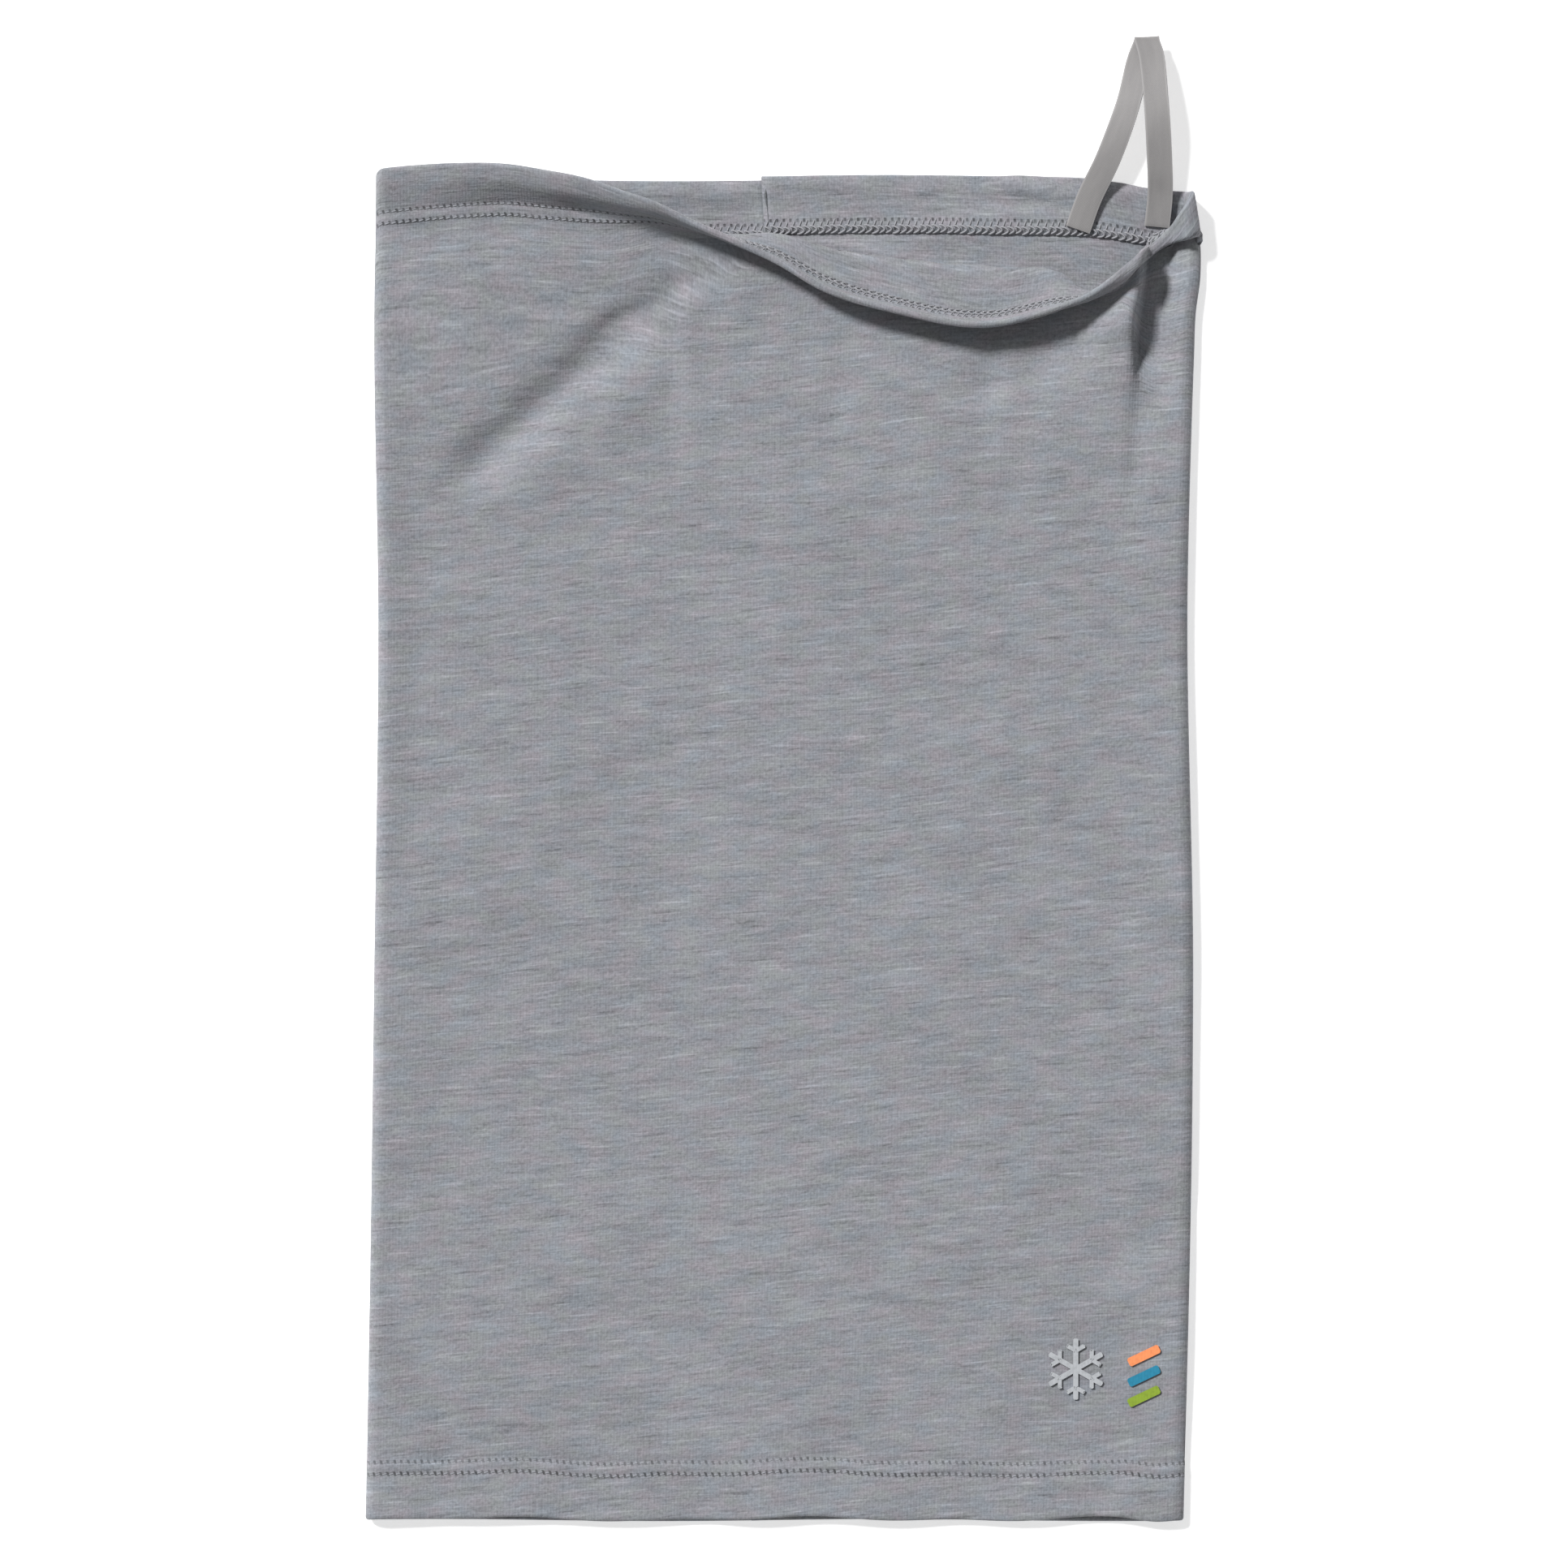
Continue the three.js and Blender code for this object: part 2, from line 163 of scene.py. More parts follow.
# Soft folds, each along a line: start, end, half width on its left and on its right as seen along it, and
# depth (below zero is a ridge).
FRONT_FOLDS = (
    ((-30, 146), (-50, 130), 4.0, 4.6, 1.3),
    ((-50, 129), (-88, 95), 5.0, 6.0, 4.3),
    ((-42, 116), (-76, 86), 8.0, 6.0, -0.9),
    ((-50, 131), (-58, 104), 3.0, 3.4, 0.7),
    ((107.0, 158), (105.8, 129), 4.8, 1.9, 11.0),
    ((113.5, 152), (111, 118), 5.0, 5.0, 2.2),
    ((105.4, 124), (104.4, 92), 4.2, 3.0, 1.0),
    ((101.6, 148), (101.0, 136), 2.4, 3.2, -1.2),
    ((98, 141), (84, 128), 3.0, 3.4, 1.2),
    ((96, 126), (66, 117), 4.0, 6.0, 1.5),
    ((60, 127), (60, 121), 4.0, 5.0, 0.9),
    ((18, 124), (14, 98), 3.0, 3.6, 0.4),
    ((74, 108), (68, 86), 3.4, 3.8, 0.5),
    ((-108.5, 161), (-102, 158.4), 2.2, 2.6, 1.0),
    ((-109, 120), (-110, -20), 5.0, 5.0, 0.6),
    ((-116, -150), (-96, -196), 5.0, 5.0, 0.8),
    ((-100, -160), (-70, -196), 6.0, 6.0, -0.6),
    ((-30, -206), (-14, -222), 6.0, 6.0, 0.8),
    ((88, -150), (116, -128), 6.0, 6.0, 0.5),
)
BACK_FOLDS = (
    ((68, 175.5), (82, 172), 1.6, 2.6, -1.5),
    ((58, 164), (94, 166), 5.0, 11.0, -1.5),
    ((6, 158.4), (72, 148), 1.0, 2.6, -0.5),
    ((94, 170), (102, 173), 2.0, 2.0, -0.9),
    ((-40, 171), (-14, 172.5), 2.4, 2.4, -0.5),
)


# ---- Small maths ----


def smoothstep(t):
    t = np.clip(t, 0.0, 1.0)
    return t * t * (3 - 2 * t)


def mix(a, b, share):
    return a + (b - a) * share


def unit(vectors):
    return vectors / np.linalg.norm(vectors, axis=-1, keepdims=True)


def through(knots_x, knots_y, x):
    """A smooth curve through the knots, at x."""
    knots_x = np.asarray(knots_x, float)
    knots_y = np.asarray(knots_y, float)
    slopes = np.gradient(knots_y, knots_x)
    x = np.clip(x, knots_x[0], knots_x[-1])
    i = np.clip(np.searchsorted(knots_x, x, side="right") - 1, 0, len(knots_x) - 2)
    width = knots_x[i + 1] - knots_x[i]
    t = (x - knots_x[i]) / width
    from_left = (1 + 2 * t) * (1 - t) ** 2 * knots_y[i] + t * (1 - t) ** 2 * width * slopes[i]
    from_right = t * t * (3 - 2 * t) * knots_y[i + 1] + t * t * (t - 1) * width * slopes[i + 1]
    return from_left + from_right


def mouth(column, x):
    """One column of the mouth's table, at x."""
    table = np.array(MOUTH, float)
    return through(table[:, 0], table[:, column], x)


def fold_depth(folds, x, y):
    """How far the folds push the surface down at (x, y)."""
    depth = 0 * x
    for start, end, left_width, right_width, fold in folds:
        start, end = np.array(start, float), np.array(end, float)
        line = end - start
        length = np.hypot(*line)
        along = ((x - start[0]) * line[0] + (y - start[1]) * line[1]) / length
        rightward = ((x - start[0]) * line[1] - (y - start[1]) * line[0]) / length
        past = np.maximum(np.maximum(-along, along - length), 0)
        width = np.where(rightward > 0, right_width, left_width)
        depth = depth + fold * np.exp(-((rightward / width) ** 2) - (past / (left_width + right_width)) ** 2)
    return depth


# ---- The sheet of jersey ----


def slack(x, y):
    """The gentle unevenness of cloth that lies loose."""
    return (
        0.35 * np.sin(x / 23 + 0.6 * np.sin(y / 61) + 0.4)
        + 0.30 * np.sin(y / 37 + 0.8 * np.sin(x / 44) + 1.9)
        + 0.18 * np.sin(x / 11.5 - y / 29 + 2.2)
        + 0.12 * np.sin(x / 17 + y / 9.5)
    )


def bottom_wave(x):
    """How the bottom edge of the front layer rises and falls."""
    return 0.55 * np.sin(x / 13.5 + 0.8) + 0.35 * np.sin(x / 6.1 + 2.0)


def front_waver(x):
    """How the bottom edge of the front layer strays along its length."""
    return 0.6 * np.sin(x / 15 + 1) + 0.35 * np.sin(x / 6.7) - 0.9 * np.exp(-(((x - 112) / 7) ** 2))


def foot_reach(x):
    """How far the fold at the lip's foot lies beyond the rim."""
    return 1.1 * mouth(HOLD, x) + 3.0


def loose_share(x):
    """How far the front layer at x, on the straight tube, is free of the back one: 0 at the sides, then 1."""
    return np.clip((HALF_WIDTH - np.abs(x)) / ARCH_SPAN, 0, 1)


def right_bulge(x, y):
    """The cloth stands up beside the deep fold under the mouth's right end."""
    return 4.6 * np.exp(-(((x - 104) / 13) ** 2) - ((y - 138) / 22) ** 2)


def front_level(x, y):
    """Height of the front layer's middle surface, away from the mouth's lip."""
    from_foot = mouth(RIM_Y, x) + np.where(np.abs(x) < FOOT_SPAN, foot_reach(x), 0) - y
    start = np.where(x < LATE_RISE_X, LATE_RISE, 0)
    sunk = 1 - smoothstep((from_foot - start) / mouth(RISE, x))
    level = mix(FRONT_LEVEL + slack(x, y), mouth(SUNK_LEVEL, x), sunk)
    near_side = smoothstep((np.abs(x) - EDGE + SIDE_ZONE) / SIDE_ZONE)
    level = level + SIDE_RISE * near_side * (1 - sunk) + right_bulge(x, y) * (1 - near_side)
    level = level - fold_depth(FRONT_FOLDS, x, y)
    from_bottom = y - BOTTOM
    settled = 1 - smoothstep(from_bottom / BOTTOM_ZONE)
    level = level - BOTTOM_SINK * settled
    level = level + bottom_wave(x) * (1 - smoothstep(from_bottom / WAVE_ZONE)) * (1 - near_side)
    return np.maximum(level, LEAST_FRONT_LEVEL)


def back_level(x, y):
    """Height of the back layer's middle surface. It steps up where one edge laps the other at the seam."""
    right_edge = (x >= SEAM_X - 1.5 * SEAM_LAP) & (x < SEAM_X + 40)
    lap = SEAM_STEP * np.exp(-(((x - SEAM_X + SEAM_LAP) / 3.0) ** 2))
    return BACK_LEVEL + np.where(right_edge, lap, 0) + np.maximum(-fold_depth(BACK_FOLDS, x, y), 0)


def make_columns():
    """x, front share and side of each column round the tube, and its u."""
    turns = np.linspace(-math.pi / 2, math.pi / 2, SIDE_COLUMNS + 2)[1:-1]
    right_back = np.linspace(SEAM_X - SEAM_LAP, EDGE, int((EDGE - SEAM_X) / COLUMN_STEP))
    close = np.linspace(EDGE, CLOSE_X, CLOSE_COLUMNS)[:-1]
    rest = np.linspace(CLOSE_X, -EDGE, int((CLOSE_X + EDGE) / COLUMN_STEP))
    front = np.concatenate([close, rest])
    left_back = np.linspace(-EDGE, SEAM_X + SEAM_LAP, int((EDGE + SEAM_X) / COLUMN_STEP))
    fold_x = EDGE + FOLD_REACH * np.cos(turns)
    fold_share = (1 + np.sin(turns)) / 2
    x = np.concatenate([right_back, fold_x, front, -fold_x[::-1], left_back])
    share = np.concatenate([0 * right_back, fold_share, 0 * front + 1, fold_share[::-1], 0 * left_back])
    left_half = np.concatenate([0 * right_back, 0 * fold_x, front < 0, 0 * fold_x + 1, 0 * left_back + 1])
    height = share * FRONT_LEVEL
    u = np.concatenate([[0], np.cumsum(np.hypot(np.diff(x), np.diff(height)))])
    return x, share, left_half.astype(bool), u


def outer_rows():
    """v of the rows on the outside."""
    sewn = np.arange(FIRST_ROW, SEWN_PART, SEWN_STEP)
    lip = np.arange(SEWN_PART + 0.4, LIP_LENGTH, LIP_STEP)
    middle = np.arange(LIP_LENGTH, BODY_LENGTH - BOTTOM_PART, MIDDLE_STEP)
    bottom = np.arange(BODY_LENGTH - BOTTOM_PART, BODY_LENGTH - FIRST_ROW - 0.4, BOTTOM_STEP)
    return np.concatenate([sewn, lip, middle, bottom, [BODY_LENGTH - FIRST_ROW]])


def lip_angles(x, share, v):
    """How far the front layer is turned from lying flat, v below its rim."""
    knots = [0 * x, *(mouth(column, x) for column in LIP_DEPTHS)]
    angles = [mouth(RIM_ANGLE, x), *(mouth(column, x) for column in LIP_ANGLES)]
    knots += [knots[-1] + mouth(HOLD, x), knots[-1] + mouth(HOLD, x) + mouth(SETTLE, x)]
    angles += [angles[-1], 0 * x]
    angle = angles[0] + 0 * v
    for i in range(1, len(knots)):
        passed = smoothstep((v - knots[i - 1]) / np.maximum(knots[i] - knots[i - 1], 0.01))
        angle = angle + (angles[i] - angles[i - 1]) * passed
    return np.radians(angle) * smoothstep(share)


def rim_line(x, share, left_half):
    """y of the rim in each column. The back layer's rim drops towards the right."""
    back = np.where(left_half, BACK_TOP_LEFT, BACK_TOP_RIGHT) - 4.6 * smoothstep((x - 84) / 36)
    back = back + 0.35 * np.sin(x / 19)
    return mix(back, mouth(RIM_Y, x), smoothstep(share))


def bottom_line(x, share):
    """y of the bottom edge in each column."""
    return mix(BOTTOM + 0.3 * np.sin(x / 21), BOTTOM + 0.6 + front_waver(x), share)


def outer_sheet(x, share, left_half, v):
    """Positions of the outside sheet, shape (columns, rows, 3), on its middle surface."""
    step = 0.25
    fine = np.linspace(0, BODY_LENGTH, int(BODY_LENGTH / step) + 1)
    x_grid, share_grid = x[:, None], share[:, None]
    on_lip = fine <= LIP_LENGTH
    angle = lip_angles(x_grid, share_grid, fine[None, on_lip])
    run = np.cumsum(np.cos(angle), axis=1) * step
    drop = np.cumsum(np.sin(angle), axis=1) * step
    lip_y = rim_line(x, share, left_half)[:, None] - run
    lip_height = drop[:, -1:] - drop
    allowed = mix(*RIM_TOP, smoothstep((x + 45) / 35)) - mouth(SUNK_LEVEL, x)
    lip_height = lip_height * np.minimum(1, allowed / np.maximum(lip_height.max(axis=1), 1))[:, None]
    below = (fine[None, ~on_lip] - LIP_LENGTH) / (BODY_LENGTH - LIP_LENGTH)
    flat_y = mix(lip_y[:, -1:], bottom_line(x, share)[:, None], below)
    y_fine = np.concatenate([lip_y, flat_y], axis=1)
    height_fine = np.concatenate([lip_height, 0 * flat_y], axis=1)

    y = np.array([np.interp(v, fine, row) for row in y_fine])
    height = np.array([np.interp(v, fine, row) for row in height_fine])
    inward = np.clip(x, -EDGE, EDGE)[:, None] + 0 * y
    z = mix(back_level(x_grid + 0 * y, y), front_level(inward, y), share_grid) + height
    turned = np.array([np.interp(v, fine[on_lip], row, right=0) for row in angle])
    on_front_half = np.where(share_grid > 0.5, 1, 0)
    z = z - sewn_dent(v)[None, :] * on_front_half * np.cos(turned)
    return np.stack([placed_x(x_grid, y), y, z], axis=2)


def sewn_dent(v):
    """How far the outside lies in from the hems' face, under the needle threads and between the hems."""
    rows = [*NEEDLE_ROWS, *(BODY_LENGTH - row for row in NEEDLE_ROWS)]
    dent = sum(0.3 * np.exp(-(((v - row) / 0.8) ** 2)) for row in rows)
    past_top_hem = smoothstep((v - HEM + 0.7) / 0.9)
    past_bottom_hem = smoothstep((v - BODY_LENGTH + HEM - 0.2) / 0.9)
    return dent + 0.55 * past_top_hem * (1 - past_bottom_hem)


def placed_x(x, y):
    """Moves the straight tube's x so that its sides run where they lie."""
    left = through(*zip(*LEFT_SIDE), y) + HALF_WIDTH
    right = through(*zip(*RIGHT_SIDE), y) - HALF_WIDTH
    across = (x + HALF_WIDTH) / (2 * HALF_WIDTH)
    return x + mix(left, right, across)


def sheet_normals(points):
    """The sheet's unit normals, pointing out of the tube."""
    return unit(np.cross(np.gradient(points, axis=0), np.gradient(points, axis=1)))


def ply_gap(v):
    """Distance between the two plies of a hem, v from its edge: plump at the edge, pinched where sewn."""
    plump = 0.75 * np.exp(-(((v - 3.2) / 3.4) ** 2)) + 0.12 * np.exp(-(((v - 9) / 4) ** 2))
    return 0.62 + plump - 0.3 * smoothstep((v - NEEDLE_ROWS[1] + 0.4) / 1.0)


def turned_edge(points, normals, rows, v, edge):
    """The rows turned inside a hem and those round its edge, from the raw edge outwards. edge is its v."""
    depth = np.abs(v[rows] - edge)
    inside = points[:, rows] - normals[:, rows] * ply_gap(depth)[None, :, None]
    outer_start, inner_start = points[:, rows[-1]], inside[:, -1]
    tangent = unit(points[:, rows[-1]] - points[:, rows[-2]])
    middle, half = (outer_start + inner_start) / 2, (outer_start - inner_start) / 2
    reach = np.linalg.norm(half, axis=1, keepdims=True) * 1.15
    around = [
        middle + half * math.sin(turn) + tangent * reach * math.cos(turn)
        for turn in np.radians([-60, -30, 0, 30, 60])
    ]
    return np.concatenate([inside, np.stack(around, axis=1)], axis=1)


class Sheet:
    """The whole sheet of jersey as a grid of points, with u for each column and v for each row."""

    def __init__(self):
        self.x, self.share, left_half, self.u = make_columns()
        v = outer_rows()
        outer = outer_sheet(self.x, self.share, left_half, v)
        normals = sheet_normals(outer)
        top_rows = np.nonzero(v <= HEM)[0][::-1]
        bottom_rows = np.nonzero(v >= BODY_LENGTH - HEM)[0]
        top = turned_edge(outer, normals, top_rows, v, 0)
        bottom = turned_edge(outer, normals, bottom_rows, v, BODY_LENGTH)[:, ::-1]
        round_edge = np.array([-0.9, -0.45, 0, 0.45, 0.9])
        self.points = np.concatenate([top, outer, bottom], axis=1)
        turned_v = 2 * BODY_LENGTH - v[bottom_rows][::-1]
        self.v = np.concatenate([-v[top_rows], round_edge, v, BODY_LENGTH + round_edge, turned_v])
        self.normals = sheet_normals(self.points)
        self.knit_v = self.knit_rows()
        half = len(self.u) // 2
        self.right_fold_u = np.interp(0.5, self.share[:half], self.u[:half])
        self.left_fold_u = np.interp(-0.5, -self.share[half:], self.u[half:])

    def knit_rows(self):
        """v for the knit's pattern. Its rows follow the rim at first and turn level further down. Where the
        lip hangs they turn level out of sight, just past its foot."""
        level_rows = BACK_TOP_RIGHT - self.points[:, :, 1] + KNIT_ROW_RISE * self.points[:, :, 0]
        hangs = smoothstep((self.x + 60) / 60) * (1 - smoothstep((self.x - 98) / 12)) * self.share
        foot_v = mouth(LIP_DEPTHS[-1], self.x) + mouth(HOLD, self.x)
        turn_start = mix(30.0, foot_v, hangs)[:, None]
        turn_length = mix(45.0, 8.0, hangs)[:, None]
        turned_level = smoothstep((self.v[None, :] - turn_start) / turn_length)
        return mix(self.v[None, :], level_rows, turned_level)

    def at(self, u, v, lift=0.0):
        """Positions and normals at (u, v), lifted off the middle surface on its right side."""
        i = np.interp(u, self.u, np.arange(len(self.u)))
        j = np.interp(v, self.v, np.arange(len(self.v)))
        i0 = np.minimum(i.astype(int), len(self.u) - 2)
        j0 = np.minimum(j.astype(int), len(self.v) - 2)
        a, b = (i - i0)[..., None], (j - j0)[..., None]

        def blend_of(grid):
            low = mix(grid[i0, j0], grid[i0, j0 + 1], b)
            high = mix(grid[i0 + 1, j0], grid[i0 + 1, j0 + 1], b)
            return mix(low, high, a)

        normals = unit(blend_of(self.normals))
        return blend_of(self.points) + normals * np.asarray(lift)[..., None], normals

    def looseness(self, u):
        """0 where the cloth at u stays with the back layer, rising to 1 where it lifts with the front one."""
        x = np.interp(u, self.u, self.x)
        share = np.interp(u, self.u, self.share)
        return np.where(share >= 0.5, loose_share(x), 0)


# ---- Meshes ----


def new_object(name, data):
    obj = bpy.data.objects.new(name, data)
    bpy.context.scene.collection.objects.link(obj)
    return obj


def new_mesh(name, vertices, faces, material, **uv_layers):
    """vertices in millimetres. Each uv layer has one pair for each vertex, also in millimetres."""
    mesh = bpy.data.meshes.new(name)
    mesh.from_pydata((np.asarray(vertices) * MM).tolist(), [], faces)
    mesh.polygons.foreach_set("use_smooth", [True] * len(mesh.polygons))
    corners = np.zeros(len(mesh.loops), np.int32)
    mesh.loops.foreach_get("vertex_index", corners)
    for layer_name, uvs in uv_layers.items():
        layer = mesh.uv_layers.new(name=layer_name)
        layer.data.foreach_set("uv", np.asarray(uvs, np.float32)[corners].ravel())
    mesh.validate()
    mesh.materials.append(material)
    return new_object(name, mesh)


def listed(*grids):
    """Grids of coordinates as one list of points."""
    return np.stack(grids, axis=-1).reshape(-1, len(grids))


def grid_faces(rows, columns):
    index = np.arange(rows * columns).reshape(rows, columns)
    quads = np.stack([index[:-1, :-1], index[:-1, 1:], index[1:, 1:], index[1:, :-1]], axis=2)
    return quads.reshape(-1, 4).tolist()


def strands(points, normals, radius, sides=6):
    """Round threads along points, shape (threads, points, 3). Returns vertices, faces and uvs."""
    count, length = points.shape[:2]
    tangents = unit(np.gradient(points, axis=1))
    across = unit(np.cross(tangents, normals))
    up = np.cross(across, tangents)
    turns = np.arange(sides) / sides * 2 * math.pi
    radius = np.broadcast_to(radius, (count, length))[:, :, None, None]
    ring = np.cos(turns)[:, None] * across[:, :, None, :] + np.sin(turns)[:, None] * up[:, :, None, :]
    vertices = (points[:, :, None, :] + radius * ring).reshape(-1, 3)
    index = np.arange(count * length * sides).reshape(count, length, sides)
    near, far = index[:, :-1], index[:, 1:]
    quads = np.stack([near, np.roll(near, -1, 2), np.roll(far, -1, 2), far], axis=3).reshape(-1, 4).tolist()
    caps = [row[::-1] for row in index[:, 0].tolist()] + index[:, -1].tolist()
    run = np.cumsum(np.linalg.norm(np.diff(points, axis=1, prepend=points[:, :1]), axis=2), axis=1)
    uvs = listed(*np.broadcast_arrays(run[:, :, None], turns))
    return vertices, quads + caps, uvs


def joined(parts):
    """Several (vertices, faces, uvs) as one."""
    vertices, faces, uvs, offset = [], [], [], 0
    for part_vertices, part_faces, part_uvs in parts:
        vertices.append(part_vertices)
        uvs.append(part_uvs)
        faces += [[corner + offset for corner in face] for face in part_faces]
        offset += len(part_vertices)
    return np.concatenate(vertices), faces, np.concatenate(uvs)


def thicken(obj, thickness, offset=0):
    """Thickens a surface along its normals if offset is 1, against them if -1, and both ways if 0."""
    made = obj.modifiers.new("thickness", "SOLIDIFY")
    made.thickness = thickness * MM
    made.offset = offset


def blend_by_looseness(obj, looseness):
    places = np.zeros(len(obj.data.vertices) * 3, np.float32)
    obj.data.vertices.foreach_get("co", places)
    stand_ins = np.zeros((len(looseness), 3), np.float32)
    stand_ins[:, 0] = looseness
    obj.data.vertices.foreach_set("co", stand_ins.ravel())
    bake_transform(obj)
    obj.data.vertices.foreach_set("co", places)
    obj.data.update()
    return obj


# ---- Materials ----


class Nodes:
    """A short way to write a material's nodes."""

    def __init__(self, name):
        self.material = bpy.data.materials.new(name)
        self.material.use_nodes = True
        self.tree = self.material.node_tree
        self.shader = self.tree.nodes["Principled BSDF"]

    def node(self, kind, inputs=None, **settings):
        made = self.tree.nodes.new("ShaderNode" + kind)
        for key, value in settings.items():
            setattr(made, key, value)
        for key, value in (inputs or {}).items():
            self.set(made.inputs[key], value)
        return made

    def set(self, socket, value):
        if isinstance(value, bpy.types.NodeSocket):
            self.tree.links.new(value, socket)
        else:
            socket.default_value = value

    def math(self, operation, a, b=0.0, clamp=False):
        made = self.node("Math", operation=operation, use_clamp=clamp)
        self.set(made.inputs[0], a)
        self.set(made.inputs[1], b)
        return made.outputs[0]

    def plus(self, a, b, clamp=False):
        return self.math("ADD", a, b, clamp)

    def minus(self, a, b):
        return self.math("SUBTRACT", a, b)

    def times(self, a, b):
        return self.math("MULTIPLY", a, b)

    def remap(self, value, low, high, to_low=0.0, to_high=1.0):
        sockets = {"Value": value, "From Min": low, "From Max": high, "To Min": to_low, "To Max": to_high}
        return self.node("MapRange", sockets, clamp=True).outputs[0]

    def noise(self, vector, scale, detail=2.0, rough=0.5):
        made = self.node("TexNoise", {"Scale": scale, "Detail": detail, "Roughness": rough, "Vector": vector})
        return made.outputs["Fac"]

    def stretched(self, vector, scale, turn=0.0, shift=(0, 0, 0)):
        """vector turned by turn radians, shifted, and then scaled on each axis."""
        turned = self.node("Mapping", {"Vector": vector, "Rotation": (0, 0, turn), "Location": shift})
        return self.node("Mapping", {"Vector": turned.outputs[0], "Scale": (*scale, 1)}).outputs[0]

    def cloth_noise(self, place, scale, detail=2.0, rough=0.5, shift=(0, 0, 0)):
        """Noise on the cloth. scale is about how many cells it has for each millimetre, on each axis."""
        return self.noise(self.stretched(place, scale, shift=shift), 1.0, detail, rough)

    def wave(self, vector, scale, distortion=0.0):
        made = self.node("TexWave", {"Vector": vector, "Scale": scale, "Distortion": distortion})
        return made.outputs["Fac"]

    def cloth_place(self):
        return self.node("UVMap", uv_map="cloth").outputs[0]

    def colour_mix(self, share, a, b, blend="MIX"):
        made = self.node("Mix", data_type="RGBA", blend_type=blend)
        self.set(made.inputs[0], share)
        self.set(made.inputs[6], a)
        self.set(made.inputs[7], b)
        return made.outputs[2]

    def bump(self, height, strength, distance, below=None):
        made = self.node("Bump", {"Height": height, "Strength": strength, "Distance": distance})
        if below is not None:
            self.set(made.inputs["Normal"], below)
        return made.outputs[0]

    def finished(self, **sockets):
        """Sets the shader's sockets, named with _ for each space, and returns the material."""
        for name, value in sockets.items():
            self.set(self.shader.inputs[name.replace("_", " ")], value)
        return self.material


def linear(red, green, blue):
    """An sRGB colour, 0 to 255, as linear RGBA."""

    def one(value):
        value /= 255
        return value / 12.92 if value <= 0.04045 else ((value + 0.055) / 1.055) ** 2.4

    return (one(red), one(green), one(blue), 1.0)


def jersey_shade(n, place, flow, yarn, grain):
    """How light the heathered wool is: uneven yarn, fine grain, broad clouds, and pale and dark slubs."""
    fine_yarn = n.cloth_noise(flow, (0.35, 1.5), 2.0, 0.6, (7, 3, 0))
    cloud = n.cloth_noise(flow, (0.05, 0.30), 2.0, 0.6, (15, 29, 0))
    broad = n.cloth_noise(place, (0.030, 0.055), shift=(45, 9, 0))
    light_slub = n.cloth_noise(flow, (0.075, 1.15), 1.0, 0.5, (31, 17, 0))
    dark_slub = n.cloth_noise(flow, (0.075, 1.05), 1.0, 0.5, (91, 57, 0))
    shade = 1.0
    for value, weight in ((yarn, 0.56), (fine_yarn, 0.16), (grain, 0.95), (cloud, 0.5), (broad, 0.27)):
        shade = n.plus(n.times(n.minus(value, 0.5), weight), shade)
    shade = n.plus(shade, n.remap(light_slub, 0.58, 0.76, 0.0, 0.30))
    return n.minus(shade, n.remap(dark_slub, 0.60, 0.78, 0.0, 0.28))


def jersey_tint(n, place):
    """Grey that leans towards blue, rose and green in soft patches."""
    patch = n.cloth_noise(place, (0.11, 0.16), shift=(5, 9, 0))
    other_patch = n.cloth_noise(place, (0.13, 0.18), shift=(55, 79, 0))
    tint = n.colour_mix(n.remap(patch, 0.35, 0.65), linear(131, 136, 143), linear(138, 135, 141))
    return n.colour_mix(n.remap(other_patch, 0.45, 0.7), tint, linear(135, 138, 140))


def jersey_material():
    """Heathered wool jersey: fine wales, uneven yarn that shows as level streaks, and a soft fuzz. Along the
    stitches, painted shade darkens the holes that the threads pull open."""
    n = Nodes("heather_jersey")
    place = n.node("UVMap", uv_map="knit").outputs[0]
    drift = n.minus(n.cloth_noise(place, (0.011, 0.02), 1.0), 0.5)
    offset = n.node("CombineXYZ", {"Y": n.times(drift, 6.0)}).outputs[0]
    flow = n.node("VectorMath", {0: place, 1: offset}, operation="ADD").outputs[0]

    yarn = n.cloth_noise(flow, (0.12, 1.0), 2.0, 0.6)
    grain = n.cloth_noise(place, (0.95, 1.1), 2.0, 0.7)
    wale = n.wave(n.stretched(place, (1.0, 0.04)), 0.36, 2.5)
    holes = hole_shade_and_dents(n)
    shade = n.times(jersey_shade(n, place, flow, yarn, grain), n.remap(wale, 0, 1, 0.98, 1.02))
    # Painted shade: the colour darkens in the holes along the stitches and in the looper chain's pockets.
    shade = n.times(shade, n.minus(1.0, n.times(holes, 0.72)))
    grey = n.node("CombineColor", {"Red": shade, "Green": shade, "Blue": shade}).outputs[0]

    soft = n.bump(n.minus(yarn, n.times(holes, 1.2)), 0.6, 0.0003)
    knit = n.bump(wale, 0.25, 0.0001, soft)
    return n.finished(
        Base_Color=n.colour_mix(1.0, jersey_tint(n, place), grey, "MULTIPLY"),
        Roughness=0.92,
        Sheen_Weight=0.2,
        Sheen_Roughness=0.6,
        Specular_IOR_Level=0.15,
        Normal=n.bump(grain, 0.5, 0.0002, knit),
    )


